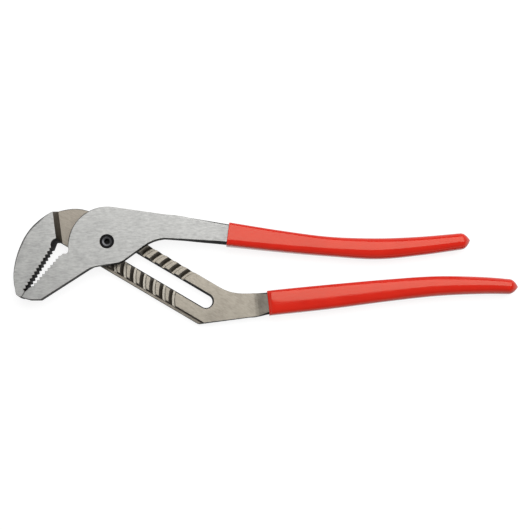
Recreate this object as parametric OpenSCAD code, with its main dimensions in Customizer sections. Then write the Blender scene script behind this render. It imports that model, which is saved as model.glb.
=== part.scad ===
// Water pump pliers: a slotted half and a tongue half on one pivot bolt, with dipped grips.
// The tool lies on its back. X runs along the tool towards the handles, Y across it, Z up
// through the joint. The pivot axis is the Z axis, and the back of the tool is the plane z = 0.

/* [Head] */
// Thickness of the closed head, from the back of the web to the front of the plate
head_thickness = 17.4; // [16.6:0.2:19]
// Thickness of the slotted web
web_thickness = 8.6; // [8.2:0.1:9.2]
// Running gap between the web and the plate
plate_gap = 0.1; // [0.05:0.05:0.3]
// Radius of the plate's round head
plate_radius = 30.7; // [29.8:0.1:31.4]
// How far the centre of the round head lies below the pivot
plate_drop = 2.4; // [1.8:0.1:2.8]
// How far the tongue half opens before its shoulder meets the web
opening_angle = 45; // [40:1:48]

/* [Slot] */
// Angle of the slot below the tool's long axis
slot_angle = 30.75; // [30:0.25:31.5]
// Width of the slot at the face of the web
slot_mouth = 12.8; // [12:0.1:13.4]
// Width of the slot at the nut track
slot_throat = 10.2; // [10.1:0.1:11]
// Play left in the slot past the first and the last jaw position
slot_play = 1.4; // [0.6:0.1:2]
// Width of the nut track in the back of the web
track_width = 15.4; // [14.6:0.1:16.4]
// Depth of the nut track
track_depth = 3.4; // [3:0.1:3.8]
// Distance from the slot's centre line to the upper edge of the web
web_above = 15.2; // [14.8:0.1:16]
// Distance from the slot's centre line to the lower edge of the web
web_below = 18.8; // [18.4:0.1:19.2]
// Width of the lowered ledge along the web's lower edge
ledge_width = 2.9; // [2.4:0.1:3.2]

/* [Tongues and grooves] */
// Number of jaw positions
groove_count = 11; // [9:1:11]
// Distance between neighbouring jaw positions
groove_pitch = 9.1; // [8.8:0.1:9.4]
// Radius of the arc at the middle of a groove's floor
groove_radius = 25.3; // [24.8:0.1:25.5]
// Width of a groove's floor
groove_floor = 1.9; // [1.6:0.1:2.1]
// Depth of a groove
groove_depth = 3.2; // [2.8:0.1:3.4]
// Run of the sloping side of a groove, the side towards the jaws
groove_slope = 2.9; // [2.4:0.1:3.1]
// Run of the steep side of a groove, the side towards the pivot
groove_steep = 0.6; // [0.3:0.1:1]
// Clearance round a tongue in its groove
tongue_gap = 0.2; // [0.15:0.05:0.3]

/* [Jaws] */
// Distance from the pivot to the meeting jaw tips, along the tool
jaw_reach = 66.7; // [64:0.1:69]
// Distance from the pivot to the meeting jaw tips, across the tool
jaw_drop = 44.8; // [43:0.1:46]
// Gap between the jaw tips when closed
tip_gap = 0.2; // [0.1:0.05:0.4]
// Radius of the slotted jaw's round back
jaw_back_radius = 56.1; // [55:0.1:57]
// Angle of the slotted jaw's row of teeth to the tool's long axis
upper_tooth_angle = 58.8; // [58:0.1:60]
// Angle of the tongue jaw's row of teeth
lower_tooth_angle = 49.5; // [49:0.1:50]
// Angle of the tongue jaw's smooth lip
lower_lip_angle = 39.4; // [38.6:0.1:40.2]
// Length along which the closed jaw tips lie on each other
tip_length = 5.2; // [4.9:0.1:5.5]
// How far the slotted jaw's teeth stand back from its smooth tip
upper_set_back = 0.7; // [0.5:0.1:0.9]
// Distance from the tip to the slotted jaw's first tooth
upper_tooth_start = 4.5; // [4.3:0.1:4.7]
// Length of the tongue jaw's smooth lip between its tip and its first tooth
lower_lip_length = 6.5; // [6:0.1:7]
// Distance between neighbouring teeth
tooth_pitch = 3.2; // [3:0.05:3.3]
// Depth of the teeth
tooth_depth = 1.4; // [1:0.1:1.6]
// Teeth in the slotted jaw
upper_tooth_count = 13; // [11:1:13]
// Teeth in the tongue jaw
lower_tooth_count = 11; // [9:1:11]
// Radius of the relief in the slotted jaw's throat, at the jaw's face
throat_radius = 5.2; // [4.8:0.1:5.6]
// How far the tongue jaw's lower edge slopes in towards its back
jaw_inset = 2.2; // [1.8:0.1:2.6]
// Run of the sloping step from the slotted jaw's face down to the web
step_run = 3.7; // [3:0.1:4.2]

/* [Handles] */
// Thickness of the handles under the grips
handle_thickness = 11; // [10:0.1:12]
// How much a handle's face is narrower on each side than its middle
handle_draft = 1.6; // [1.2:0.1:2]
// Distance along the tool from the pivot to the upper grip's mouth
upper_mouth = 97; // [94:0.5:104]
// Length of the upper handle from its grip's mouth to the grip's tip
upper_length = 200; // [190:1:215]
// Distance along the tool from the pivot to the lower grip's mouth
lower_mouth = 129.5; // [127:0.5:136]
// Length of the lower handle from its grip's mouth to the grip's tip
lower_length = 206; // [196:1:220]

/* [Grips] */
// Wall of the dipped grips
grip_wall = 1.3; // [1:0.1:1.6]
// Length of a grip's pointed tip past the end of the handle
grip_tip = 8; // [7:0.5:9]
// Fit between a grip and its handle
grip_fit = 0.03; // [0.02:0.01:0.06]

/* [Pivot] */
// Diameter of the bolt's flush head
bolt_head_d = 11.3; // [11:0.1:12.4]
// Height of the bolt's head
bolt_head_h = 4.6; // [4:0.1:5.4]
// Diameter of the bolt's shank
bolt_shank_d = 9.9; // [9.5:0.1:10]
// Diameter of the bolt's threaded end
bolt_thread_d = 8; // [7:0.1:8.6]
// Width of the bolt's hex socket across its flats
socket_width = 4; // [3:0.5:5]
// Depth of the bolt's hex socket
socket_depth = 3; // [2:0.1:3.6]
// Diameter of the dished ring round the socket
socket_ring_d = 7.4; // [6.6:0.1:8]
// Running clearance between the bolt and the bore, on the radius
bolt_clearance = 0.05; // [0.03:0.01:0.1]
// Depth of the bolt's head below the face of the plate
bolt_recess = 0.1; // [0:0.05:0.4]
// Clearance between the nut and its track, on each side
nut_clearance = 0.2; // [0.1:0.05:0.3]
// Length of the nut along the track
nut_length = 21; // [18:0.5:24]

/* [Hidden] */
$fn = 64;

steel = "#c2c3be";
black_oxide = "#1d1d1f";
red_vinyl = "#c8281a";

// Overshoot of cuts past the faces that they open
over = 1;
// Greatest turn between two points of a rounded corner
corner_step = 7.5;
// Clearance between the tongue jaw's shoulder and the web's edge
shoulder_gap = 0.4;

plate_back = web_thickness + plate_gap;
groove_bottom = web_thickness - groove_depth;
ledge_top = groove_bottom - 0.2;
ledge_slope = 1;
slot_travel = (groove_count - 1) * groove_pitch;
handle_low = (head_thickness - handle_thickness) / 2;
handle_high = handle_low + handle_thickness;
nut_width = track_width - 2 * nut_clearance;
jaw_tip = [-jaw_reach, -jaw_drop];

// Points and lines in the plane of the tool
function heading(a) = [cos(a), sin(a)];
function in_slot(s, h) = s * heading(-slot_angle) + h * heading(90 - slot_angle);
function meet(p, a, q, b) = p + heading(a) * cross(q - p, heading(b)) / cross(heading(a), heading(b));
function arc(centre, r, from, to, n) = [for (i = [0:n]) centre + r * heading(from + (to - from) * i / n)];

// An outline is a list of [point, radius]: each corner becomes an arc of its radius
function unit(v) = v / norm(v);
function rounded_corner(before, corner, after, r) =
    let (u = unit(before - corner), v = unit(after - corner), half = acos(u * v) / 2)
    let (centre = corner + unit(u + v) * r / sin(half), start = corner + u * r / tan(half) - centre)
    let (sweep = (180 - 2 * half) * sign(cross(v, u)), n = max(2, ceil(abs(sweep) / corner_step)))
    arc(centre, r, atan2(start.y, start.x), atan2(start.y, start.x) + sweep, n);
function outline(list) = let (n = len(list)) [
    for (i = [0:n - 1])
        each list[i][1] == 0 ? [list[i][0]] :
            rounded_corner(list[(i + n - 1) % n][0], list[i][0], list[(i + 1) % n][0], list[i][1])
];

// Handles: rows of [x, y, width, draft, low face, high face, grip fullness], joined by a smooth curve
function curve_at(rows, i, f) =
    let (a = rows[max(i - 1, 0)], b = rows[i], c = rows[i + 1], d = rows[min(i + 2, len(rows) - 1)])
    b + (c - a) * f / 2 + (2 * a - 5 * b + 4 * c - d) * pow(f, 2) / 2
    + (3 * b - a - 3 * c + d) * pow(f, 3) / 2;
steps_per_row = 5;
function curve(rows, first) = concat(
    [for (i = [first:len(rows) - 2]) for (k = [0:steps_per_row - 1]) curve_at(rows, i, k / steps_per_row)],
    [rows[len(rows) - 1]]);
function flat(row) = [row[0], row[1]];
function turn(rows, i) =
    let (d = flat(rows[min(i + 1, len(rows) - 1)]) - flat(rows[max(i - 1, 0)]))
    atan2(d.y, d.x);

// Cross-section of a forged handle: flat faces, drafted sides and a parting line, as [across, up]
parting_land = 1;
function forged_section(row, grow) =
    let (w = row[2] / 2 + grow, face = w - row[3], low = row[4] - grow, high = row[5] + grow)
    let (mid = (low + high) / 2)
    [[w, mid - parting_land], [w, mid + parting_land], [face, high], [-face, high],
     [-w, mid + parting_land], [-w, mid - parting_land], [-face, low], [face, low]];

// Cross-section of a grip: flat-topped at its mouth, and oval where its fullness falls towards its tip
grip_sides = 24;
function swell(v, fullness) = sign(v) * pow(abs(v), 2 / fullness);
function grip_section(row, size) =
    let (w = row[2] / 2 + grip_wall, t = (row[5] - row[4]) / 2 + grip_wall, mid = (row[4] + row[5]) / 2)
    [for (j = [0:grip_sides - 1])
        let (a = 360 * j / grip_sides)
        [w * size * swell(cos(a), row[6]), mid + t * size * swell(sin(a), row[6])]];

function ring(section, row, a) = [for (p = section) [row[0] - p[0] * sin(a), row[1] + p[0] * cos(a), p[1]]];

module sweep(rings) {
    m = len(rings[0]);
    last = len(rings) - 1;
    function at(i, j) = i * m + j % m;
    polyhedron(
        points = [for (r = rings) each r],
        faces = concat(
            [[for (j = [0:m - 1]) j]],
            [for (i = [0:last - 1]) for (j = [0:m - 1]) [at(i, j), at(i + 1, j), at(i + 1, j + 1)]],
            [for (i = [0:last - 1]) for (j = [0:m - 1]) [at(i, j), at(i + 1, j + 1), at(i, j + 1)]],
            [[for (j = [m - 1:-1:0]) at(last, j)]]));
}

module handle_core(rows, grow = 0) {
    line = curve(rows, 0);
    sweep([for (i = [0:len(line) - 1]) ring(forged_section(line[i], grow), line[i], turn(line, i))]);
}

// A grip starts at its mouth, the row numbered first, and closes in a blunt point
tip_rings = 6;
tip_bluntness = 0.08;
module grip(rows, first) {
    line = curve(rows, first);
    last = len(line) - 1;
    a = turn(line, last);
    tip = [for (i = [1:tip_rings])
        let (t = i / tip_rings, at = flat(line[last]) + heading(a) * grip_tip * t)
        ring(grip_section(line[last], max(1 - pow(t, 2), tip_bluntness)), at, a)];
    difference() {
        sweep(concat([for (i = [0:last]) ring(grip_section(line[i], 1), line[i], turn(line, i))], tip));
        handle_core(rows, grip_fit);
    }
}

// Upper handle: its neck starts inside the plate and runs to the grip's mouth.
// Neck rows: [x past the end of the plate, y, width, draft, low face over the plate's back,
// high face over the head]
upper_start = 53;
upper_neck = [[-13, 12.4, 19.2, 0.3, 0.6, 0.6], [0, 11.95, 19.6, 0.3, -0.4, 0.3]];
// Middle of the neck: [y, width, share of the draft, low face over the handle's, high face under the head's]
upper_middle = [9.5, 18.4, 0.7, 2, 0.9];
// Rise of the neck's high face over the handle's at the grip's mouth
upper_mouth_rise = 0.9;
upper_mouth_y = 6.9;
// From the grip's mouth: [share of the length, rise, width, grip fullness]
upper_line = [[0, 0, 16.8, 5], [0.226, -5.6, 14.7, 4], [0.431, -9.7, 13.3, 3.2], [0.636, -11.5, 14.5, 2.8],
    [0.821, -9.2, 12.7, 2.6], [1, -5.3, 10.9, 2.5]];
upper_mouth_row = 3;
upper_rows = concat(
    [for (p = upper_neck)
        [upper_start + p[0], p[1], p[2], p[3], plate_back + p[4], head_thickness + p[5], upper_line[0][3]]],
    [[(upper_start + upper_mouth) / 2, upper_middle[0], upper_middle[1], upper_middle[2] * handle_draft,
      handle_low + upper_middle[3], head_thickness - upper_middle[4], upper_line[0][3]]],
    [for (p = upper_line)
        [upper_mouth + p[0] * (upper_length - grip_tip), upper_mouth_y + p[1], p[2], handle_draft,
         handle_low, handle_high + (p[0] == 0 ? upper_mouth_rise : 0), p[3]]]);

// Lower handle, likewise from the end of the web: its neck rows give the low face's height
// and the high face's height over the web
lower_start = 119.5;
lower_neck = [[-9, -51.1, 18.4, 0.2, -0.4, -0.5], [0, -50.35, 19.2, 0.2, -0.2, 0.2]];
// Drop of the neck's low and high faces below the handle's at the grip's mouth
lower_mouth_drop = [0.6, 2];
lower_mouth_y = -49.3;
lower_line = [[0, 0, 17.6, 5], [0.04, 0.8, 17.6, 4.6], [0.236, 4.8, 17.3, 4], [0.492, 10.3, 15.4, 3.2],
    [0.697, 13.8, 13.7, 2.8], [0.882, 14.3, 11.5, 2.6], [1, 13.4, 9.8, 2.5]];
lower_mouth_row = 2;
lower_rows = concat(
    [for (p = lower_neck)
        [lower_start + p[0], p[1], p[2], p[3], p[4], web_thickness + p[5], lower_line[0][3]]],
    [for (p = lower_line)
        [lower_mouth + p[0] * (lower_length - grip_tip), lower_mouth_y + p[1], p[2], handle_draft,
         handle_low - (p[0] == 0 ? lower_mouth_drop[0] : 0),
         handle_high - (p[0] == 0 ? lower_mouth_drop[1] : 0), p[3]]]);

// A row of teeth as outline corners: notches to the left of a line from the row's start
tooth_land = 0.4;
function teeth(start, angle, count) = [
    for (i = [0:count - 1])
        for (p = [[tooth_pitch / 2, tooth_depth], [tooth_pitch - tooth_land / 2, 0],
                  [tooth_pitch + tooth_land / 2, 0]])
            [start + (i * tooth_pitch + p[0]) * heading(angle) + p[1] * heading(angle + 90), 0]
];

// Slotted half: jaw, web and the start of the lower handle in one outline
tip_shift = tip_gap / 2 * heading(upper_tooth_angle + 90);
upper_tip = jaw_tip + tip_shift;
upper_row = upper_tip + upper_tooth_start * heading(upper_tooth_angle)
    + upper_set_back * heading(upper_tooth_angle + 90);
throat_centre = upper_row + upper_tooth_count * tooth_pitch * heading(upper_tooth_angle) + [4.1, 2.1];
throat_back_radius = 2.6;
foot_y = 1.1;
foot_width = 2.7;
foot = meet(in_slot(0, -web_below), -slot_angle, [0, foot_y], 0);
jaw_back_centre = jaw_tip + [49.7, 18.5];
// Swell of the jaw's back over its radius, as [angle, swell]
jaw_back_swell = [[108, 0.25], [112, 0.75], [120, 1], [128, 1.2], [134, 1.35], [140, 1.25],
    [148, 0.85], [156, 0.3], [164, 0.05], [172, 0.05], [180, 0.25], [188, 0.25], [192, 0.05]];
function jaw_back(a) = jaw_back_centre + (jaw_back_radius + lookup(a, jaw_back_swell)) * heading(a);
lower_edge = [90.6, -63.3];
lower_edge_angle = 7.4;
handle_top_y = -41.2;
knee = meet(in_slot(0, -web_below), -slot_angle, lower_edge, lower_edge_angle);
bend = meet(in_slot(0, web_above), -slot_angle, [0, handle_top_y], 0);
web_shoulder = in_slot(-33, web_above);
upper_nose = jaw_tip + [-4.2, 1.4];
// Radii of the slotted half's corners
upper_tip_radius = 0.5;
upper_nose_radius = 3;
foot_radius = 1;
foot_edge_radius = 1.5;
knee_radius = 5;
bend_radius = 36;
shoulder_radius = 32;
slotted_outline = outline(concat(
    [[upper_tip, upper_tip_radius], [upper_tip + tip_length * heading(upper_tooth_angle), 0]],
    teeth(upper_row, upper_tooth_angle, upper_tooth_count),
    [[[foot.x - foot_width, foot_y], foot_radius], [foot, foot_edge_radius], [knee, knee_radius],
     [meet(knee, lower_edge_angle, [lower_start, 0], 90), 0], [[lower_start, handle_top_y], 0],
     [bend, bend_radius], [web_shoulder, shoulder_radius]],
    [for (a = [108:4:192]) [jaw_back(a), 0]],
    [[upper_nose, upper_nose_radius]]));

// Slab that grinds a face flat, above or below a height
module grinding(low) {
    far = 1000;
    translate([-far / 2, -far / 2, low]) cube([far, far, head_thickness]);
}

// Everything in front of the web is milled away, up to a sloping step beside the jaw
step_top = [-43.3, 22.6];
step_angle = -81.7;
module web_milling() {
    far = 250;
    translate(step_top) rotate(step_angle + 90)
        rotate([90, 0, 0]) translate([0, 0, -far / 2]) linear_extrude(far)
            polygon([[-step_run * over / (head_thickness - web_thickness), head_thickness + over],
                     [step_run, web_thickness], [far, web_thickness], [far, head_thickness + over]]);
}

// A flat bar with round ends: its length is between the centres of the ends
module flat_bar(length, width, thick) {
    translate([-length / 2, -width / 2, 0]) cube([length, width, thick]);
    for (s = [-1, 1])
        translate([s * length / 2, 0, 0]) cylinder(h = thick, d = width);
}

// Slot with drafted walls, and the flat nut's track behind it
module slot() {
    low = track_depth - over;
    slope = (slot_mouth - slot_throat) / 2 / (web_thickness - track_depth);
    r_low = slot_throat / 2 - slope * over;
    r_high = slot_mouth / 2 + slope * over;
    from = -slot_play;
    length = slot_travel + 2 * slot_play;
    tall = web_thickness - track_depth + 2 * over;
    rotate(-slot_angle) {
        for (s = [from, from + length])
            translate([s, 0, low]) cylinder(h = tall, r1 = r_low, r2 = r_high);
        translate([from, 0, low]) rotate([90, 0, 90]) linear_extrude(length)
            polygon([[-r_low, 0], [r_low, 0], [r_high, tall], [-r_high, tall]]);
        translate([length / 2 + from, 0, -over])
            flat_bar(length + nut_length - nut_width, track_width, track_depth + over);
    }
}

// Grooves are arcs round each place where the bolt can stand in the slot
groove_reach = 50;
jaw_side = 180 - slot_angle;
groove_in = groove_radius - groove_floor / 2;
groove_out = groove_radius + groove_floor / 2;
function groove_profile(gap, past) =
    let (rise = 1 + past / groove_depth, top = web_thickness + past)
    [[groove_in - groove_steep * rise + gap, top], [groove_in + gap, groove_bottom + gap],
     [groove_out - gap, groove_bottom + gap], [groove_out + groove_slope * rise - gap, top]];
module arc_band(profile, from, to) {
    rotate(from) rotate_extrude(angle = to - from, $fn = 180) polygon(profile);
}
module grooves() {
    for (k = [0:groove_count - 1])
        translate(in_slot(k * groove_pitch, 0))
            arc_band(groove_profile(0, over), jaw_side - groove_reach, jaw_side + groove_reach);
}

// Lowered ledge along the web's lower edge, from just before the first groove
ledge_lead = 0.6;
module ledge() {
    far = 200;
    inner = ledge_width - web_below;
    start = sqrt(pow(groove_out + groove_slope, 2) - pow(inner, 2)) + ledge_lead;
    rotate(-slot_angle) translate([-start, 0, 0]) rotate([90, 0, 90]) linear_extrude(far)
        polygon([[inner + ledge_slope * over / (web_thickness - ledge_top), web_thickness + over],
                 [inner - ledge_slope, ledge_top], [-2 * web_below, ledge_top],
                 [-2 * web_below, web_thickness + over]]);
}

// Relief in the throat: a cone that opens towards the jaw's face
module throat_relief() {
    slope = (throat_radius - throat_back_radius) / head_thickness;
    translate([throat_centre.x, throat_centre.y, -2 * over])
        cylinder(h = head_thickness + 4 * over, r1 = throat_back_radius - 2 * over * slope,
                 r2 = throat_radius + 2 * over * slope);
}

module slotted_half() {
    color(steel) difference() {
        union() {
            difference() {
                translate([0, 0, -over]) linear_extrude(head_thickness + over) polygon(slotted_outline);
                throat_relief();
                web_milling();
                ledge();
                grooves();
                slot();
            }
            handle_core(lower_rows);
        }
        grinding(-head_thickness);
    }
}

// Tongue half: round plate, lower jaw and the start of the upper handle
lower_tip = jaw_tip - tip_shift;
lip_start = lower_tip + tip_length * heading(upper_tooth_angle);
lower_row = lip_start + lower_lip_length * heading(lower_lip_angle);
lower_root = lower_row + lower_tooth_count * tooth_pitch * heading(lower_tooth_angle);
throat_floor = lower_root + [1, -0.5];
plate_centre = [0, -plate_drop];
top_edge_angle = -8.1;
top_tangent = plate_centre + plate_radius * heading(90 + top_edge_angle);
neck_y = 2.9;
jaw_edge_angle = 33.4;
belly_angle = 9.2;
belly = [0, -18.75];
throat_corner_x = -30.7;
hollow = [23.2, -8.1];
hollow_angle = 36.4;
nose = jaw_tip + [6.4, -1.9];
jaw_corner = jaw_tip + [15.2, -1.9];
belly_left = meet(jaw_corner, jaw_edge_angle, belly, belly_angle);
belly_right = meet(belly, belly_angle, hollow, hollow_angle);
neck_corner = meet(hollow, hollow_angle, [0, neck_y], 0);
// Radii of the tongue half's corners
lower_tip_radius = 0.4;
nose_radius = 8;
jaw_corner_radius = 3;
belly_left_radius = 20;
belly_right_radius = 14;
neck_radius = 32;
throat_corner_radius = 2.5;
throat_floor_radius = 0.4;
lip_radius = 1;
tongue_outline = outline(concat(
    [[lower_tip, lower_tip_radius], [nose, nose_radius], [jaw_corner, jaw_corner_radius],
     [belly_left, belly_left_radius], [belly_right, belly_right_radius], [neck_corner, neck_radius],
     [[upper_start, neck_y], 0], [meet(top_tangent, top_edge_angle, [upper_start, 0], 90), 0]],
    [for (p = arc(plate_centre, plate_radius, 90 + top_edge_angle, 188, 24)) [p, 0]],
    [[[throat_corner_x, throat_floor.y], throat_corner_radius], [throat_floor, throat_floor_radius]],
    teeth(lower_root, lower_tooth_angle + 180, lower_tooth_count),
    [[lip_start, lip_radius]]));

// Back half of the tongue jaw's edge from p to q, sloped in below the parting line
jaw_parting = 8.2;
module back_draft(p, q) {
    far = 20;
    d = q - p;
    slope = jaw_inset / jaw_parting;
    translate([p.x, p.y, jaw_parting]) rotate(atan2(d.y, d.x)) translate([-far / 2, 0, 0])
        rotate([90, 0, 90]) linear_extrude(norm(d) + far)
            polygon([[-over, over / slope], [slope * (jaw_parting + over), -jaw_parting - over],
                     [-far, -jaw_parting - over], [-far, over / slope]]);
}

// Room for the web under the plate, with the tongue half at an angle
module web_room(angle) {
    far = 400;
    rotate(-slot_angle - angle) translate([-far / 2, -web_below - shoulder_gap, -over])
        cube([far, far, plate_back + over]);
}

// Two tongues, one for each row of grooves beside the slot
tongue_margin = 1.5;
tongue_inset = 0.3;
module tongues() {
    profile = groove_profile(tongue_gap, over);
    beside_slot = asin(slot_mouth / 2 / groove_radius) + tongue_margin;
    upper_end = asin(web_above / groove_radius) - tongue_margin;
    lower_end = asin((web_below - ledge_width) / groove_radius) - tongue_margin;
    intersection() {
        union() {
            arc_band(profile, jaw_side - upper_end, jaw_side - beside_slot);
            arc_band(profile, jaw_side + beside_slot, jaw_side + lower_end);
        }
        translate([0, -plate_drop, 0])
            cylinder(h = head_thickness - over, r = plate_radius - tongue_inset, $fn = 180);
    }
}

module tongue_half() {
    color(steel) difference() {
        union() {
            difference() {
                linear_extrude(head_thickness + over) polygon(tongue_outline);
                back_draft(lower_tip, nose);
                back_draft(nose, jaw_corner);
                back_draft(jaw_corner, belly_left);
                web_room(0);
                web_room(opening_angle);
            }
            tongues();
            handle_core(upper_rows);
        }
        grinding(head_thickness);
        cylinder(h = head_thickness + over, d = bolt_shank_d + 2 * bolt_clearance);
        translate([0, 0, head_thickness - bolt_recess - bolt_head_h])
            cylinder(h = bolt_head_h + bolt_recess + over, d = bolt_head_d + 2 * bolt_clearance);
    }
}

// Bolt: turned from its flush head to its threaded end, with a dished hex socket
socket_dish = 0.5;
socket_lip = 0.4;
module pivot_bolt() {
    top = head_thickness - bolt_recess;
    shoulder = top - bolt_head_h;
    inner_d = socket_width + 2 * socket_lip;
    color(black_oxide) difference() {
        union() {
            cylinder(h = track_depth, d = bolt_thread_d);
            translate([0, 0, track_depth]) cylinder(h = shoulder - track_depth, d = bolt_shank_d);
            translate([0, 0, shoulder]) cylinder(h = bolt_head_h, d = bolt_head_d);
        }
        translate([0, 0, top - socket_dish])
            cylinder(h = 2 * socket_dish, d1 = inner_d, d2 = 2 * socket_ring_d - inner_d);
        translate([0, 0, top - socket_dish - socket_depth])
            cylinder(h = socket_depth + over, d = socket_width / cos(30), $fn = 6);
    }
}

// Flat nut, keyed by its long sides in the track and flush with the back
module pivot_nut() {
    thick = track_depth - nut_clearance / 2;
    color(black_oxide) rotate(-slot_angle) difference() {
        flat_bar(nut_length - nut_width, nut_width, thick);
        translate([0, 0, -over]) cylinder(h = thick + 2 * over, d = bolt_thread_d);
    }
}

module upper_grip() {
    color(red_vinyl) grip(upper_rows, upper_mouth_row);
}

module lower_grip() {
    color(red_vinyl) grip(lower_rows, lower_mouth_row);
}

slotted_half();
tongue_half();
pivot_bolt();
pivot_nut();
upper_grip();
lower_grip();
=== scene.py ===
# %% [markdown]
# # Water pump pliers
# These pliers are two steel forgings on one bolt, with long handles dipped in red vinyl.
# The imported CAD model gives every size, and Blender adds what a maker sees up close: broken
# edges, ground and milled steel, black walls with painted shade, and a glossy skin on the grips.

# %% Load the imported frame
import math

import bmesh
import bpy
from mathutils import Matrix, Vector


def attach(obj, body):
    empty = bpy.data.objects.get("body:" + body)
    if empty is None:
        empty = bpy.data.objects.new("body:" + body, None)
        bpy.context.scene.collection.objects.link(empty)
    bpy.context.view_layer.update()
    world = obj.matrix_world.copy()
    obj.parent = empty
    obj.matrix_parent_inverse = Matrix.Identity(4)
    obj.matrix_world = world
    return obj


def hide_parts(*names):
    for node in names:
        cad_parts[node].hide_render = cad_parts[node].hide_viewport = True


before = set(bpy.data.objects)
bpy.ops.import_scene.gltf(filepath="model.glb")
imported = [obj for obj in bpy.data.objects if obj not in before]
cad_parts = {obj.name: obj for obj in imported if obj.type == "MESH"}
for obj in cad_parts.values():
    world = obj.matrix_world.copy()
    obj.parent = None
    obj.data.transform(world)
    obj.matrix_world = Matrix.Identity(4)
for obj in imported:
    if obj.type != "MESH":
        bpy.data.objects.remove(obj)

scene = bpy.context.scene
scene.view_settings.view_transform = "Standard"
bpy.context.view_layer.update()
MM = 0.001
print("nodes:", sorted(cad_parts))

# %% [markdown]
# ## Camera
# The photograph looks down on the tool as it lies on its back, from a little towards the
# viewer and the jaws. The place of the camera was worked out from points on the tool whose
# size is known, and the camera's right-hand side stays level with the tool's long axis.

# %% Camera
PHOTO_SIDE = 530
FOCAL_PIXELS = 1100
SENSOR = 36
camera_place = Vector((75.05, -142.59, 893.08)) * MM
camera_aim = Vector((127.06, -18.58, 13.0)) * MM

look = (camera_aim - camera_place).normalized()
right = (Vector((1, 0, 0)) - look * look.x).normalized()
up = right.cross(look)
lens_data = bpy.data.cameras.new("photo_camera")
lens_data.sensor_width = SENSOR
lens_data.lens = SENSOR * FOCAL_PIXELS / PHOTO_SIDE
lens_data.clip_start = 0.01
camera = bpy.data.objects.new("photo_camera", lens_data)
facing = Matrix((right, up, -look)).transposed().to_4x4()
camera.matrix_world = Matrix.Translation(camera_place) @ facing
scene.collection.objects.link(camera)
scene.camera = camera
print("lens in mm:", round(lens_data.lens, 2))

# %% [markdown]
# ## Light
# A tool photographed for a catalogue lies under one wide softbox. Here it hangs over the table
# and behind the tool: its near edge is almost overhead, so the crown of each grip mirrors it
# and the side towards the viewer doesn't. The world is a dim ceiling over white walls. The
# walls are there only for rays from the camera and from shiny surfaces, so that steel has
# something bright to mirror from every side while the light on the table stays soft and even.

# %% Node helpers
def feed(tree, value, socket):
    """Sets a socket to a plain number, or links another node's output to it."""
    if isinstance(value, (int, float)):
        socket.default_value = value
    else:
        tree.links.new(value, socket)


def math_of(tree, operation, *values):
    """What a math node makes of numbers and other nodes' outputs."""
    node = tree.nodes.new("ShaderNodeMath")
    node.operation = operation
    for socket, value in zip(node.inputs, values):
        feed(tree, value, socket)
    return node.outputs[0]


def ranged(tree, value, source, target, kind="LINEAR"):
    """A value moved from one span of numbers to another."""
    node = tree.nodes.new("ShaderNodeMapRange")
    node.interpolation_type = kind
    for label, number in zip(("From Min", "From Max", "To Min", "To Max"), (*source, *target)):
        node.inputs[label].default_value = number
    tree.links.new(value, node.inputs["Value"])
    return node.outputs["Result"]


def seen_rays(tree):
    """1 for rays from the camera, from shiny surfaces and through clear ones, and 0 for the rest."""
    path = tree.nodes.new("ShaderNodeLightPath").outputs
    seen = math_of(tree, "ADD", path["Is Camera Ray"], path["Is Glossy Ray"])
    return math_of(tree, "ADD", seen, path["Is Transmission Ray"])


# %% Lamp and world
# The softbox's place, aim and size are in metres
SOFTBOX_PLACE = (0.39, 0.44, 0.80)
SOFTBOX_AIM = (0.39, 0.44, 0.0)
SOFTBOX_SIZE = (1.26, 0.82)
SOFTBOX_RADIANCE = 2.7
# The ceiling gets lighter one way, and the walls fade into it with height
LIGHTER_WAY = Vector((-0.55, 0.45, 0.70)).normalized()
LIGHTER_SPAN = (-0.7, 0.9)
CEILING_LEVELS = (0.25, 0.38)
WALL_FADE = (0.25, 0.55)
WALL_LEVEL = 1.0


def softbox(name, place, aim, size, radiance):
    """An area lamp of a given radiance, so that its size can change without its brightness."""
    data = bpy.data.lights.new(name, "AREA")
    data.shape = "RECTANGLE"
    data.size, data.size_y = size
    data.energy = radiance * math.pi * size[0] * size[1]
    lamp = bpy.data.objects.new(name, data)
    lamp.location = place
    lamp.rotation_euler = (Vector(aim) - Vector(place)).to_track_quat("-Z", "Y").to_euler()
    lamp.visible_camera = False
    scene.collection.objects.link(lamp)


softbox("top_softbox", SOFTBOX_PLACE, SOFTBOX_AIM, SOFTBOX_SIZE, SOFTBOX_RADIANCE)

world = bpy.data.worlds.new("studio")
scene.world = world
world.use_nodes = True
air = world.node_tree
air.nodes.clear()
direction = air.nodes.new("ShaderNodeTexCoord").outputs["Generated"]
towards = air.nodes.new("ShaderNodeVectorMath")
towards.operation = "DOT_PRODUCT"
towards.inputs[1].default_value = LIGHTER_WAY
air.links.new(direction, towards.inputs[0])
ceiling = ranged(air, towards.outputs["Value"], LIGHTER_SPAN, CEILING_LEVELS)
height = air.nodes.new("ShaderNodeSeparateXYZ")
air.links.new(direction, height.inputs[0])
wall = ranged(air, height.outputs["Z"], WALL_FADE, (1, 0), "SMOOTHSTEP")
strength = air.nodes.new("ShaderNodeMix")
strength.inputs["B"].default_value = WALL_LEVEL
air.links.new(math_of(air, "MULTIPLY", wall, seen_rays(air)), strength.inputs["Factor"])
air.links.new(ceiling, strength.inputs["A"])
sky = air.nodes.new("ShaderNodeBackground")
sky.inputs["Color"].default_value = (1, 1, 1, 1)
out = air.nodes.new("ShaderNodeOutputWorld")
air.links.new(strength.outputs["Result"], sky.inputs["Strength"])
air.links.new(sky.outputs["Background"], out.inputs["Surface"])

# %% [markdown]
# ## Floor
# The photograph's ground is plain white. The floor is a grey matt sheet that takes the tool's
# shadow, and for the same rays that see the walls it also glows, so that it reads as white
# paper.

# %% Floor
# In metres, with the floor a hair under the tool
FLOOR_SIDE = 6.0
FLOOR_HEIGHT = -0.0002
FLOOR_GLOW = 0.86
FLOOR_TONE = 0.27


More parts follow.
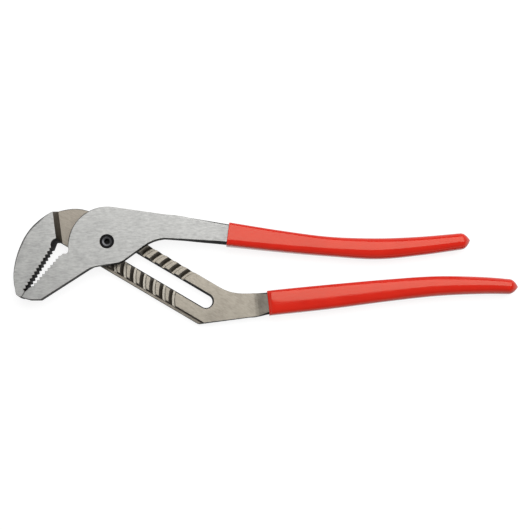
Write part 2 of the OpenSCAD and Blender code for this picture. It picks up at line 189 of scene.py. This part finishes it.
def sheet_mesh(name, side, height):
    """A square sheet round the origin at a height."""
    data = bpy.data.meshes.new(name)
    half = side / 2
    data.from_pydata([(-half, -half, height), (half, -half, height), (half, half, height),
                      (-half, half, height)], [], [(0, 1, 2, 3)])
    return data


floor = bpy.data.objects.new("floor", sheet_mesh("floor", FLOOR_SIDE, FLOOR_HEIGHT))
scene.collection.objects.link(floor)
paper = bpy.data.materials.new("white_paper")
paper.use_nodes = True
tree = paper.node_tree
tree.nodes.clear()
matt = tree.nodes.new("ShaderNodeBsdfDiffuse")
matt.inputs["Color"].default_value = (FLOOR_TONE, FLOOR_TONE, FLOOR_TONE, 1)
glow = tree.nodes.new("ShaderNodeEmission")
tree.links.new(math_of(tree, "MULTIPLY", seen_rays(tree), FLOOR_GLOW), glow.inputs["Strength"])
both = tree.nodes.new("ShaderNodeAddShader")
tree.links.new(matt.outputs[0], both.inputs[0])
tree.links.new(glow.outputs[0], both.inputs[1])
out = tree.nodes.new("ShaderNodeOutputMaterial")
tree.links.new(both.outputs[0], out.inputs["Surface"])
floor.data.materials.append(paper)
print("floor side in m:", FLOOR_SIDE)

# %% [markdown]
# ## Shared surface effects
# Two effects come back in every finish. Streaks are the fine lines that a belt or a cutter
# leaves, made from noise that is stretched along one axis. Smudges are the slow, cloudy
# changes that handling and oil leave. Each is a node group, built once, and each material
# places it with values of its own.

# %% Node groups
STREAK_SPAN = (0.3, 0.7)
STREAK_DETAIL, STREAK_ROUGHNESS = 4.0, 0.6
SMUDGE_SPAN = (0.35, 0.65)
SMUDGE_DETAIL, SMUDGE_ROUGHNESS = 3.0, 0.55


def group_with(name, numbers, output):
    """An empty shader group with named number inputs and one named number output."""
    group = bpy.data.node_groups.new(name, "ShaderNodeTree")
    for label, value in numbers.items():
        socket = group.interface.new_socket(label, in_out="INPUT", socket_type="NodeSocketFloat")
        socket.default_value = value
    group.interface.new_socket(output, in_out="OUTPUT", socket_type="NodeSocketFloat")
    return group, group.nodes.new("NodeGroupInput").outputs, group.nodes.new("NodeGroupOutput").inputs


def noise_in(group, vector, scale, detail, roughness):
    """Noise over a vector, at a scale that is a number or another node's output."""
    noise = group.nodes.new("ShaderNodeTexNoise")
    noise.inputs["Detail"].default_value = detail
    noise.inputs["Roughness"].default_value = roughness
    group.links.new(vector, noise.inputs["Vector"])
    feed(group, scale, noise.inputs["Scale"])
    return noise.outputs["Fac"]


def streak_group():
    """Noise in the tool's frame, turned round Z and stretched along one axis."""
    group, given, result = group_with(
        "tool_streaks", {"Along": 60.0, "Across": 900.0, "Turn": 0.0}, "Streaks")
    place = group.nodes.new("ShaderNodeTexCoord")
    turned = group.nodes.new("ShaderNodeVectorRotate")
    turned.rotation_type = "Z_AXIS"
    stretch = group.nodes.new("ShaderNodeCombineXYZ")
    scaled = group.nodes.new("ShaderNodeVectorMath")
    scaled.operation = "MULTIPLY"
    group.links.new(place.outputs["Object"], turned.inputs["Vector"])
    group.links.new(given["Turn"], turned.inputs["Angle"])
    for axis, label in (("X", "Along"), ("Y", "Across"), ("Z", "Across")):
        group.links.new(given[label], stretch.inputs[axis])
    group.links.new(turned.outputs["Vector"], scaled.inputs[0])
    group.links.new(stretch.outputs["Vector"], scaled.inputs[1])
    noise = noise_in(group, scaled.outputs["Vector"], 1.0, STREAK_DETAIL, STREAK_ROUGHNESS)
    group.links.new(ranged(group, noise, STREAK_SPAN, (0, 1)), result["Streaks"])
    return group


def smudge_group():
    """Slow noise in the tool's frame."""
    group, given, result = group_with("handling_smudges", {"Scale": 90.0}, "Smudges")
    place = group.nodes.new("ShaderNodeTexCoord")
    noise = noise_in(group, place.outputs["Object"], given["Scale"], SMUDGE_DETAIL, SMUDGE_ROUGHNESS)
    group.links.new(ranged(group, noise, SMUDGE_SPAN, (0, 1), "SMOOTHSTEP"), result["Smudges"])
    return group


streaks = streak_group()
smudges = smudge_group()
print("shared effects:", streaks.name, smudges.name)

# %% [markdown]
# ## Finishes
# The plate and the jaw faces are ground bright, with streaks along the tool. The web is
# milled, with streaks along its slot, and has a warmer, browner tone that is lighter on the
# groove floors below the slot. Such worn steel is part mirror and part matt, so its metallic
# value lies between the two. Darker copies of the steel paint shade on the flanks, the web's
# head, the ramp and the ledge. Walls get a near-black skin, partly the forging's own dark finish
# and partly painted shade, brown on the ledge's wall. The bolt and nut are black oxide, with a
# lighter metallic oxide in the bolt's dish that paints its highlight, and the grips are glossy
# vinyl. One helper builds them all: a colour between two tones, a roughness between two values,
# and a little bump from the streaks.

# %% Material helper
# A mix node has sockets for every kind of data, and these are the places of the colour ones
COLOUR_A, COLOUR_B, COLOUR_RESULT = 6, 7, 2
STREAK_SHARE = 0.6
BUMP_DEPTH = 0.2 * MM


def mixed(tree, factor, low, high):
    """A colour between low and high."""
    mix = tree.nodes.new("ShaderNodeMix")
    mix.data_type = "RGBA"
    mix.inputs[COLOUR_A].default_value = (*low, 1)
    mix.inputs[COLOUR_B].default_value = (*high, 1)
    tree.links.new(factor, mix.inputs["Factor"])
    return mix.outputs[COLOUR_RESULT]


def placed(tree, group, **values):
    """A shared effect with values of its own."""
    node = tree.nodes.new("ShaderNodeGroup")
    node.node_tree = group
    for label, value in values.items():
        node.inputs[label].default_value = value
    return node.outputs[0]


def finish_material(name, tones, roughness, metallic, streak, smudge, bump, specular=0.5):
    """A finish from streaks and smudges in its colour, smudges in its roughness and a fine bump."""
    material = bpy.data.materials.new(name)
    material.use_nodes = True
    tree = material.node_tree
    shader = tree.nodes["Principled BSDF"]
    shader.inputs["Metallic"].default_value = metallic
    shader.inputs["Specular IOR Level"].default_value = specular
    lines = placed(tree, streaks, **streak)
    clouds = placed(tree, smudges, **smudge)
    cloud_share = math_of(tree, "MULTIPLY", clouds, 1 - STREAK_SHARE)
    factor = math_of(tree, "MULTIPLY_ADD", lines, STREAK_SHARE, cloud_share)
    tree.links.new(mixed(tree, factor, *tones), shader.inputs["Base Color"])
    tree.links.new(ranged(tree, clouds, (0, 1), roughness), shader.inputs["Roughness"])
    relief = tree.nodes.new("ShaderNodeBump")
    relief.inputs["Strength"].default_value = bump
    relief.inputs["Distance"].default_value = BUMP_DEPTH
    tree.links.new(lines, relief.inputs["Height"])
    tree.links.new(relief.outputs["Normal"], shader.inputs["Normal"])
    return material


# %% Steel, oxide and vinyl
# Streaks and smudges are sized in noise cells per metre
SLOT_ANGLE = math.radians(30.75)
STEEL_SHEEN = 0.55
GROUND_LINES = dict(Along=280.0, Across=1000.0)
MILLED_LINES = dict(Along=280.0, Across=1000.0, Turn=SLOT_ANGLE)
FORGED_GRAIN = dict(Along=300.0, Across=300.0)
OXIDE_GRAIN = dict(Along=700.0, Across=700.0)
VINYL_GLINT = (1.0, 0.94, 0.72, 1)
ground_steel = finish_material(
    "ground_steel", ((0.235, 0.235, 0.229), (0.482, 0.482, 0.467)), (0.34, 0.46), STEEL_SHEEN,
    GROUND_LINES, dict(Scale=60.0), 0.10)
milled_steel = finish_material(
    "milled_steel", ((0.250, 0.223, 0.183), (0.417, 0.379, 0.315)), (0.36, 0.46), STEEL_SHEEN,
    MILLED_LINES, dict(Scale=80.0), 0.08)
# A lighter milled steel for the groove floors below the slot
lighter_floor_steel = finish_material(
    "lighter_floor_steel", ((0.337, 0.308, 0.261), (0.500, 0.465, 0.400)), (0.34, 0.44), STEEL_SHEEN,
    MILLED_LINES, dict(Scale=80.0), 0.08)
# A darker copy of the milled steel: painted shade on the web's head, the ramp and the ledge strip
shaded_milled_steel = finish_material(
    "shaded_milled_steel", ((0.206, 0.181, 0.149), (0.337, 0.303, 0.252)), (0.36, 0.46), STEEL_SHEEN,
    MILLED_LINES, dict(Scale=80.0), 0.08)
# A darker copy of the steel: painted shade on sloped flanks and bevel facets
shaded_flank_steel = finish_material(
    "shaded_flank_steel", ((0.100, 0.091, 0.079), (0.165, 0.151, 0.132)), (0.32, 0.42), 1.0,
    dict(Along=500.0, Across=500.0), dict(Scale=120.0), 0.05)
# A near-black skin: partly the forging's own dark finish, partly painted shade on walls and steep
# rims
forged_skin_and_shade = finish_material(
    "forged_skin_and_shade", ((0.008, 0.008, 0.008), (0.022, 0.0215, 0.021)), (0.60, 0.75), 0.0,
    FORGED_GRAIN, dict(Scale=140.0), 0.12, 0.12)
# A brown skin: painted shade over the dark skin of the ledge's wall
brown_skin_and_shade = finish_material(
    "brown_skin_and_shade", ((0.030, 0.024, 0.019), (0.075, 0.062, 0.049)), (0.5, 0.65), 0.0,
    FORGED_GRAIN, dict(Scale=140.0), 0.12, 0.1)
oxide_black = finish_material(
    "oxide_black", ((0.004, 0.004, 0.0045), (0.010, 0.010, 0.011)), (0.40, 0.55), 0.0,
    OXIDE_GRAIN, dict(Scale=200.0), 0.05, 0.06)
# A lighter metallic oxide: a painted highlight in the bolt's dish
oxide_dish_highlight = finish_material(
    "oxide_dish_highlight", ((0.060, 0.060, 0.065), (0.120, 0.120, 0.125)), (0.28, 0.38), 1.0,
    OXIDE_GRAIN, dict(Scale=200.0), 0.05)
dipped_vinyl = finish_material(
    "dipped_vinyl", ((0.69, 0.010, 0.003), (0.77, 0.014, 0.004)), (0.06, 0.10), 0.0,
    dict(Along=40.0, Across=120.0), dict(Scale=45.0), 0.02)
dipped_vinyl.node_tree.nodes["Principled BSDF"].inputs["Specular Tint"].default_value = VINYL_GLINT
print("finishes:", [m.name for m in bpy.data.materials])

# %% [markdown]
# ## The two steel halves
# Each half is one forging. Its shape comes from the CAD node: a copy is welded, its flat
# triangles are joined into whole faces, and every sharp edge is broken by a small bevel,
# because no real edge is sharp and a bevel is what catches the light. Three rims are rounder
# than that: the jaw's back, the web's head and the plate's head. A rim gets one even bevel,
# and where it fades out the bevel's points are pulled in towards the sharp corner. The finish
# of a face follows from where it lies and which way it faces: ground on top of the plate and
# the jaws, milled on the web, and painted shade from darker steel and dark skin on flanks,
# walls and the rims' steeper facets.

# %% Welding, edges and finishes
# Distances for the mesh tools are in metres, and widths of bevels in mm
WELD = 0.05 * MM
NO_AREA = 0.002 * MM
FLAT = math.radians(0.4)
SHARP = math.radians(24)
STEEL_CREASE = math.radians(35)
EDGE_BREAK = 0.18
BREAK_STEPS = 2
RIM_STEPS = 6
LEAST_FADE = 0.14


def welded_copy(node):
    """A copy of a CAD node with its triangles welded and its flat faces made whole."""
    form = bmesh.new()
    form.from_mesh(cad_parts[node].data)
    bmesh.ops.remove_doubles(form, verts=form.verts, dist=WELD)
    bmesh.ops.dissolve_limit(form, angle_limit=FLAT, verts=form.verts, edges=form.edges)
    return form


def is_sharp(edge):
    """Sharp enough to be broken, as an edge between two faces."""
    return edge.is_manifold and edge.calc_face_angle() > SHARP


def break_edges(form, edges, width, segments):
    """Bevels edges by a width in mm, and gives the points that this makes."""
    made = bmesh.ops.bevel(
        form, geom=edges, offset=width * MM, offset_type="OFFSET", segments=segments,
        profile=0.5, affect="EDGES", clamp_overlap=False, loop_slide=True)
    form.normal_update()
    return made["verts"]


def break_all(form, width, segments, spared=None):
    """Breaks every sharp edge, but for those that are spared."""
    edges = [e for e in form.edges if is_sharp(e) and not (spared and spared(e))]
    break_edges(form, edges, width, segments)


def round_rim(form, low, on_rim, width, fade_at):
    """Rounds the sharp edges of a rim above a height, by a width in mm that fades along the rim."""
    rim = []
    for edge in form.edges:
        ends = [v.co / MM for v in edge.verts]
        if min(p.z for p in ends) > low and on_rim((ends[0] + ends[1]) / 2) and is_sharp(edge):
            rim.append(edge)
    corners = [v.co.copy() for edge in rim for v in edge.verts]
    for point in break_edges(form, rim, width, RIM_STEPS):
        corner = min(corners, key=lambda c: (c - point.co).length)
        point.co = corner.lerp(point.co, min(max(fade_at(corner / MM), LEAST_FADE), 1.0))
    form.normal_update()


def steel_piece(form, name, finishes, choose, crease=STEEL_CREASE):
    """A mesh object from a form, with a finish for each face and a crease at steep edges."""
    form.normal_update()
    for face in form.faces:
        face.smooth = True
        face.material_index = choose(face.calc_center_median() / MM, face.normal)
    # Large faces become triangles after they get a finish, so that those without area can go
    bmesh.ops.triangulate(form, faces=[f for f in form.faces if len(f.verts) > 4])
    bmesh.ops.dissolve_degenerate(form, dist=NO_AREA, edges=form.edges)
    data = bpy.data.meshes.new(name)
    form.to_mesh(data)
    form.free()
    data.set_sharp_from_angle(angle=crease)
    for material in finishes:
        data.materials.append(material)
    piece = bpy.data.objects.new(name, data)
    scene.collection.objects.link(piece)
    weighted = piece.modifiers.new("flat_faces_stay_flat", "WEIGHTED_NORMAL")
    weighted.keep_sharp = True
    print(name, "faces:", len(data.polygons))
    return piece


# %% Slotted half
# Indices of the finishes; the darker ones and the skins paint shade by place and facing
GROUND, MILLED, LIGHTER_FLOOR, SHADED_MILLED, SHADED_FLANK, SKIN_AND_SHADE, BROWN_SKIN_AND_SHADE = range(7)
STEEL_FINISHES = [ground_steel, milled_steel, lighter_floor_steel, shaded_milled_steel, shaded_flank_steel,
                  forged_skin_and_shade, brown_skin_and_shade]
# How far a face looks up, as the z of its normal
FACE_UP = 0.93
RIM_UP = 0.9
DRAFT_UP = 0.45
FLANK_UP = 0.36
LEDGE_WALL_UP = 0.15
# How far a wall looks away from the slot, and how far it looks towards the jaw
FROM_SLOT = 0.75
FACING_JAW = 0.3
# Heights over the tool's back in mm
JAW_FACE_HEIGHT = 16.5
JAW_EDGE_HEIGHT = 15.0
WEB_TOP = 9.5
WEB_RIM_HEIGHT = 8.3
GROOVE_HEIGHT = 6.0
LEDGE_HEIGHT = 5.3
# Places along the tool, across it, and along and across the slot, in mm
WEB_HEAD_END, WEB_HEAD, RAMP_START = -40.0, -14.0, 121.0
STEP_SIDE, NOSE_SIDE = -43.5, -38.0
HEAD_RIM_START, HEAD_RIM_END, HEAD_RIM_SIDE = -41.0, -13.0, 25.0
GROOVES_END, LEDGE_SIDE = 80.0, -14.0
JAW_BACK_CENTRE = Vector((-17.0, -26.3))
JAW_BACK_INSIDE = 52.0
# Widths of the rounded rims, and the lengths over which they fade, in mm
BACK_RIM, NOSE_FADE, STEP_FADE = 2.2, 51.0, 12.0
HEAD_RIM, HEAD_RIM_FADE = 0.8, 4.0
along_slot = Vector((math.cos(SLOT_ANGLE), -math.sin(SLOT_ANGLE), 0))
across_slot = Vector((math.sin(SLOT_ANGLE), math.cos(SLOT_ANGLE), 0))


def on_back(point):
    """On the round back of the slotted jaw."""
    return (point.x < STEP_SIDE and point.y > NOSE_SIDE
            and (point.xy - JAW_BACK_CENTRE).length > JAW_BACK_INSIDE)


def back_fade(point):
    """The share of the rim's width that is left towards the nose and the step."""
    return min((point.y - NOSE_SIDE) / NOSE_FADE, (STEP_SIDE - point.x) / STEP_FADE)


def on_head_rim(point):
    """On the top edge of the web's head, beside the jaw."""
    return (point.y > HEAD_RIM_SIDE and HEAD_RIM_START < point.x < HEAD_RIM_END
            and point.z < WEB_TOP)


def head_fade(point):
    """The share of the rim's width that is left towards its two ends."""
    return min(point.x - HEAD_RIM_START, HEAD_RIM_END - point.x) / HEAD_RIM_FADE


def web_finish(centre, normal):
    """The milled web: lands and grooves, the ledge along its lower edge, and its walls."""
    across = centre.dot(across_slot)
    on_ledge = across < LEDGE_SIDE and centre.x > WEB_HEAD
    # The steep facets of the head's rim get painted shade
    if on_head_rim(centre) and normal.z < RIM_UP:
        return SKIN_AND_SHADE
    if normal.z > FACE_UP:
        if centre.z < GROOVE_HEIGHT:
            if on_ledge and centre.z < LEDGE_HEIGHT:
                # The ledge strip gets painted shade
                return SHADED_MILLED
            # Groove floors below the slot are lighter
            return LIGHTER_FLOOR if across < 0 else MILLED
        # The web's head beside the plate gets painted shade
        return SHADED_MILLED if centre.x < WEB_HEAD else MILLED
    # The ledge's wall gets painted shade
    if on_ledge and normal.z > LEDGE_WALL_UP and normal.dot(across_slot) < -FROM_SLOT:
        return BROWN_SKIN_AND_SHADE
    # Walls facing the jaw keep the lighter milled steel; other walls get painted shade
    if normal.dot(along_slot) < -FACING_JAW and centre.dot(along_slot) < GROOVES_END:
        return MILLED
    # Other sloped faces and walls: painted shade
    return SHADED_FLANK if normal.z > FLANK_UP else SKIN_AND_SHADE


def slotted_finish(centre, normal):
    """The ramp into the handle, the jaw's rim and face, the web, and the walls round them."""
    # The ramp: a darker copy of the milled steel on top and the dark skin below, as painted shade
    if centre.x > RAMP_START and normal.z > -FACE_UP:
        return SHADED_MILLED if normal.z > DRAFT_UP else SKIN_AND_SHADE
    # The jaw's round back: ground on its upper facets, painted shade on the steeper ones
    if on_back(centre) and centre.z > JAW_EDGE_HEIGHT and normal.z < FACE_UP:
        return GROUND if normal.z > RIM_UP else SKIN_AND_SHADE
    if (centre.z > JAW_FACE_HEIGHT and normal.z > FACE_UP) or normal.z < -FACE_UP:
        return GROUND
    if centre.z < WEB_TOP and WEB_HEAD_END < centre.x < RAMP_START:
        return web_finish(centre, normal)
    # Other sloped faces and walls: painted shade
    return SHADED_FLANK if normal.z > FLANK_UP else SKIN_AND_SHADE


form = welded_copy("slotted_half")
round_rim(form, JAW_FACE_HEIGHT, on_back, BACK_RIM, back_fade)
round_rim(form, WEB_RIM_HEIGHT, on_head_rim, HEAD_RIM, head_fade)
break_all(form, EDGE_BREAK, BREAK_STEPS)
slotted = steel_piece(form, "slotted_half_steel", STEEL_FINISHES, slotted_finish)
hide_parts("slotted_half")
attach(slotted, "slotted_side")

# %% Tongue half
# In mm, as above
PLATE_RIM, PLATE_RIM_FADE = 0.9, 8.0
PLATE_RIM_RIGHT, PLATE_RIM_LOW = -4.0, -6.0
BOLT_CLEAR = 20.0
NECK_START = 60.0


def on_plate_rim(point):
    """On the plate's round edge, over the web's head."""
    return (point.x < PLATE_RIM_RIGHT and point.y > PLATE_RIM_LOW
            and point.xy.length > BOLT_CLEAR)


def plate_fade(point):
    """The share of the rim's width that is left towards its two ends."""
    return min(PLATE_RIM_RIGHT - point.x, point.y - PLATE_RIM_LOW) / PLATE_RIM_FADE


def tongue_finish(centre, normal):
    """The plate's rim, its faces, and the walls, with more painted shade on the handle's drafted
    sides.
    """
    # The plate's rim: ground on its upper facets, painted shade on the steeper ones
    if on_plate_rim(centre) and 0 < normal.z < FACE_UP:
        return GROUND if normal.z > RIM_UP else SKIN_AND_SHADE
    if abs(normal.z) > FACE_UP:
        return GROUND
    # Flanks and walls: painted shade, reaching higher facets on the handle's drafted sides
    least = DRAFT_UP if centre.x > NECK_START else FLANK_UP
    return SHADED_FLANK if normal.z > least else SKIN_AND_SHADE


form = welded_copy("tongue_half")
round_rim(form, JAW_FACE_HEIGHT, on_plate_rim, PLATE_RIM, plate_fade)
break_all(form, EDGE_BREAK, BREAK_STEPS)
tongue = steel_piece(form, "tongue_half_steel", STEEL_FINISHES, tongue_finish)
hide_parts("tongue_half")
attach(tongue, "tongue_side")

# %% [markdown]
# ## Bolt and nut
# The bolt's head lies flush in the plate and shows a dished ring round its hex socket. Both
# pieces keep their CAD shape and get broken edges and a black oxide finish. The edges in the
# socket and its dish stay as they are, because they are finer than the break, and the dish
# gets a lighter, metallic oxide that paints the highlight of its ring.

# %% Bolt and nut
OXIDE, DISH_HIGHLIGHT = range(2)
DISH_UP = 0.97
# In mm
DISH_RADIUS = 4.0
SOCKET_LOW = 13.0
NUT_EDGE_BREAK = 0.25
OXIDE_STEPS = 3
OXIDE_CREASE = math.radians(15)


def oxide_finish(centre, normal):
    """Black all over but for the dish round the socket."""
    in_dish = centre.xy.length < DISH_RADIUS and centre.z > SOCKET_LOW
    # The dish's lighter oxide is a painted highlight
    return DISH_HIGHLIGHT if in_dish and FLANK_UP < normal.z < DISH_UP else OXIDE


def in_socket(edge):
    """An edge of the socket or its dish."""
    return all(v.co.xy.length / MM < DISH_RADIUS and v.co.z / MM > SOCKET_LOW for v in edge.verts)


def oxide_piece(node, name, width):
    """A CAD node with broken edges and an oxide finish, on the slotted side."""
    form = welded_copy(node)
    break_all(form, width, OXIDE_STEPS, in_socket)
    piece = steel_piece(form, name, [oxide_black, oxide_dish_highlight], oxide_finish, OXIDE_CREASE)
    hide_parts(node)
    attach(piece, "slotted_side")


oxide_piece("pivot_bolt", "pivot_bolt_oxide", EDGE_BREAK)
oxide_piece("pivot_nut", "pivot_nut_oxide", NUT_EDGE_BREAK)

# %% [markdown]
# ## Dipped grips
# A dipped grip is a skin of even thickness round a tapering handle, so its shape follows a
# rule: rings along the handle's line, each a rounded oval that is flat on top at the mouth
# and rounder towards the tip. A line of points carries each ring's place, direction, half
# width, half height and fullness, and a Geometry Nodes tree lays a grid of points round that
# line. The rings start at the inside, turn over a rounded lip at the mouth and run to the tip.

# %% Lines of the two handles
# Lengths in mm
GRIP_WALL = 1.3
GRIP_TIP = 8.0
LIP = 0.55
PAST_LIP = 0.8
# The inside lies a little under the handle's surface, with fewer rings
INSIDE_WALL = -0.15
INSIDE_FULLNESS = 3.0
INSIDE_STEP = 4
# Numbers of rings: between two rows, round the lip and over the tip
LINE_STEPS, LIP_STEPS, TIP_STEPS = 14, 4, 14
# Rows: x, y, width, low face, high face, fullness, all in mm but the last
UPPER_ROWS = [
    (75.0, 9.5, 18.4, 5.2, 16.5, 5.0),
    (97.0, 6.9, 16.8, 3.2, 15.1, 5.0), (140.39, 1.3, 14.7, 3.2, 14.2, 4.0),
    (179.75, -2.8, 13.3, 3.2, 14.2, 3.2), (219.11, -4.6, 14.5, 3.2, 14.2, 2.8),
    (254.63, -2.3, 12.7, 3.2, 14.2, 2.6), (289.0, 1.6, 10.9, 3.2, 14.2, 2.5)]
LOWER_ROWS = [
    (119.5, -50.35, 19.2, -0.2, 8.8, 5.0),
    (129.5, -49.3, 17.6, 2.6, 12.2, 5.0), (137.42, -48.5, 17.6, 3.2, 14.2, 4.6),
    (176.23, -44.5, 17.3, 3.2, 14.2, 4.0), (226.92, -39.0, 15.4, 3.2, 14.2, 3.2),
    (267.51, -35.5, 13.7, 3.2, 14.2, 2.8), (304.14, -35.0, 11.5, 3.2, 14.2, 2.6),
    (327.5, -35.9, 9.8, 3.2, 14.2, 2.5)]


def between(a, b, c, d, f):
    """A point on the smooth curve from b to c, at a share f of the way."""
    return [q + (r - p) * f / 2 + (2 * p - 5 * q + 4 * r - s) * f ** 2 / 2
            + (3 * q - p - 3 * r + s) * f ** 3 / 2 for p, q, r, s in zip(a, b, c, d)]


def smooth_rows(rows):
    """Rows along the curve, from the second row, which is the grip's mouth."""
    line = []
    last = len(rows) - 1
    for i in range(1, last):
        ends = (rows[i - 1], rows[i], rows[i + 1], rows[min(i + 2, last)])
        line += [between(*ends, k / LINE_STEPS) for k in range(LINE_STEPS)]
    return line + [list(rows[last])]


def grip_rings(rows):
    """Rings of a grip: place, direction across, half width, half height and fullness."""
    line = smooth_rows(rows)
    ways = []
    for i in range(len(line)):
        a, b = line[max(i - 1, 0)], line[min(i + 1, len(line) - 1)]
        ways.append(Vector((b[0] - a[0], b[1] - a[1], 0)).normalized())
    rings = []

    def ring(row, way, wall, size=1.0, shift=0.0, fullness=None):
        """Adds a ring a wall outside the row, at a share of its size and shifted along its way."""
        x, y, width, low, high, own_fullness = row
        place = Vector((x, y, (low + high) / 2)) + way * shift
        across = Vector((-way.y, way.x, 0))
        half_width = (width / 2 + wall) * size
        half_height = ((high - low) / 2 + wall) * size
        rings.append((place * MM, across, half_width * MM, half_height * MM,
                      fullness or own_fullness))

    ring(line[-1], ways[-1], INSIDE_WALL, 0.0)
    for i in range(len(line) - 1, -1, -INSIDE_STEP):
        ring(line[i], ways[i], INSIDE_WALL, fullness=INSIDE_FULLNESS)
    ring(line[0], ways[0], INSIDE_WALL, fullness=INSIDE_FULLNESS)
    mouth = Vector(line[0][:2])
    first_step = (Vector(line[1][:2]) - mouth).length
    for k in range(LIP_STEPS + 1):
        turn = math.radians(90 * k / LIP_STEPS)
        share = LIP * (1 - math.cos(turn)) / first_step
        on_lip = [p + (q - p) * share for p, q in zip(line[0], line[1])]
        ring(on_lip, ways[0], GRIP_WALL - LIP + LIP * math.sin(turn))
    for row, way in zip(line, ways):
        if (Vector(row[:2]) - mouth).length > PAST_LIP:
            ring(row, way, GRIP_WALL)
    for k in range(1, TIP_STEPS + 1):
        t = k / TIP_STEPS
        ring(line[-1], ways[-1], GRIP_WALL, max(1 - t * t, 0.0), GRIP_TIP * t)
    return rings


upper_rings = grip_rings(UPPER_ROWS)
lower_rings = grip_rings(LOWER_ROWS)
print("rings:", len(upper_rings), len(lower_rings))

# %% Node tree that lays a skin round a line of rings
GRIP_SIDES = 56
SEAM = 0.002 * MM


def skin_tree(material):
    """The tree, and the keys of its two settings: the number of sides and the material."""
    tree = bpy.data.node_groups.new("dipped_skin", "GeometryNodeTree")
    face = tree.interface
    face.new_socket("Geometry", in_out="INPUT", socket_type="NodeSocketGeometry")
    sides = face.new_socket("Sides", in_out="INPUT", socket_type="NodeSocketInt")
    sides.default_value = GRIP_SIDES
    skin = face.new_socket("Material", in_out="INPUT", socket_type="NodeSocketMaterial")
    skin.default_value = material
    face.new_socket("Geometry", in_out="OUTPUT", socket_type="NodeSocketGeometry")
    nodes, link = tree.nodes, tree.links.new
    given = nodes.new("NodeGroupInput").outputs
    result = nodes.new("NodeGroupOutput")

    def calc(operation, *values):
        return math_of(tree, operation, *values)

    # A grid with a row for each ring and a column more than sides, which closes on the first. The
    # half that is added to a point's index keeps rounding from putting it in the row before
    count = nodes.new("GeometryNodeAttributeDomainSize")
    link(given["Geometry"], count.inputs["Geometry"])
    columns = calc("ADD", given["Sides"], 1)
    grid = nodes.new("GeometryNodeMeshGrid")
    link(count.outputs["Point Count"], grid.inputs["Vertices X"])
    link(columns, grid.inputs["Vertices Y"])
    index = nodes.new("GeometryNodeInputIndex").outputs[0]
    row = calc("FLOOR", calc("DIVIDE", calc("ADD", index, 0.5), columns))
    column = calc("SUBTRACT", index, calc("MULTIPLY", row, columns))
    side = calc("MODULO", column, given["Sides"])
    angle = calc("MULTIPLY", calc("DIVIDE", side, given["Sides"]), 2 * math.pi)

    def sampled(value, kind):
        """What the ring of this row carries."""
        sample = nodes.new("GeometryNodeSampleIndex")
        sample.data_type = kind
        sample.domain = "POINT"
        link(given["Geometry"], sample.inputs["Geometry"])
        link(value, sample.inputs["Value"])
        link(row, sample.inputs["Index"])
        return sample.outputs["Value"]

    def named(name, kind):
        attribute = nodes.new("GeometryNodeInputNamedAttribute")
        attribute.data_type = kind
        attribute.inputs["Name"].default_value = name
        return sampled(attribute.outputs["Attribute"], kind)

    power = calc("DIVIDE", 2.0, named("fullness", "FLOAT"))

    def swelled(wave, half):
        """A wave that is swollen towards a rectangle, times a half size."""
        size = calc("POWER", calc("ABSOLUTE", wave), power)
        return calc("MULTIPLY", calc("MULTIPLY", calc("SIGN", wave), size), half)

    def added(a, b):
        total = nodes.new("ShaderNodeVectorMath")
        link(a, total.inputs[0])
        link(b, total.inputs[1])
        return total.outputs[0]

    wide = swelled(calc("COSINE", angle), named("half_width", "FLOAT"))
    high = swelled(calc("SINE", angle), named("half_height", "FLOAT"))
    sideways = nodes.new("ShaderNodeVectorMath")
    sideways.operation = "SCALE"
    link(named("across", "FLOAT_VECTOR"), sideways.inputs[0])
    link(wide, sideways.inputs["Scale"])
    upward = nodes.new("ShaderNodeCombineXYZ")
    link(high, upward.inputs["Z"])
    place = sampled(nodes.new("GeometryNodeInputPosition").outputs[0], "FLOAT_VECTOR")
    spot = added(place, added(sideways.outputs[0], upward.outputs[0]))
    laid = nodes.new("GeometryNodeSetPosition")
    link(grid.outputs["Mesh"], laid.inputs["Geometry"])
    link(spot, laid.inputs["Position"])
    closed = nodes.new("GeometryNodeMergeByDistance")
    closed.inputs["Distance"].default_value = SEAM
    link(laid.outputs["Geometry"], closed.inputs["Geometry"])
    painted = nodes.new("GeometryNodeSetMaterial")
    link(closed.outputs["Geometry"], painted.inputs["Geometry"])
    link(given["Material"], painted.inputs["Material"])
    link(painted.outputs["Geometry"], result.inputs["Geometry"])
    return tree, sides.identifier, skin.identifier


dipped_skin, sides_key, skin_key = skin_tree(dipped_vinyl)
print("tree nodes:", len(dipped_skin.nodes))

# %% Two grips
def ring_line(name, rings):
    """A line of points, one for each ring, that carries the rings' sizes."""
    data = bpy.data.meshes.new(name)
    places, directions, *sizes = zip(*rings)
    data.from_pydata(places, [(i, i + 1) for i in range(len(rings) - 1)], [])
    across = data.attributes.new("across", "FLOAT_VECTOR", "POINT")
    across.data.foreach_set("vector", [v for direction in directions for v in direction])
    for label, numbers in zip(("half_width", "half_height", "fullness"), sizes):
        carried = data.attributes.new(label, "FLOAT", "POINT")
        carried.data.foreach_set("value", numbers)
    return data


def dipped_grip(name, rings, node, body):
    """A grip from its rings, as a plain mesh that stands for a CAD node."""
    line = bpy.data.objects.new(name + "_line", ring_line(name + "_line", rings))
    scene.collection.objects.link(line)
    dip = line.modifiers.new("dip", "NODES")
    dip.node_group = dipped_skin
    dip[sides_key] = GRIP_SIDES
    dip[skin_key] = dipped_vinyl
    graph = bpy.context.evaluated_depsgraph_get()
    data = bpy.data.meshes.new_from_object(
        line.evaluated_get(graph), preserve_all_data_layers=True, depsgraph=graph)
    bpy.data.objects.remove(line)
    data.materials.pop(index=0)  # the grid's own slot, which is empty
    form = bmesh.new()
    form.from_mesh(data)
    bmesh.ops.recalc_face_normals(form, faces=form.faces)
    for face in form.faces:
        face.smooth = True
    form.to_mesh(data)
    form.free()
    data.name = name
    grip = bpy.data.objects.new(name, data)
    scene.collection.objects.link(grip)
    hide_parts(node)
    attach(grip, body)
    print(name, "faces:", len(data.polygons), "materials:", [m.name for m in data.materials])


dipped_grip("upper_grip_vinyl", upper_rings, "upper_grip", "tongue_side")
dipped_grip("lower_grip_vinyl", lower_rings, "lower_grip", "slotted_side")
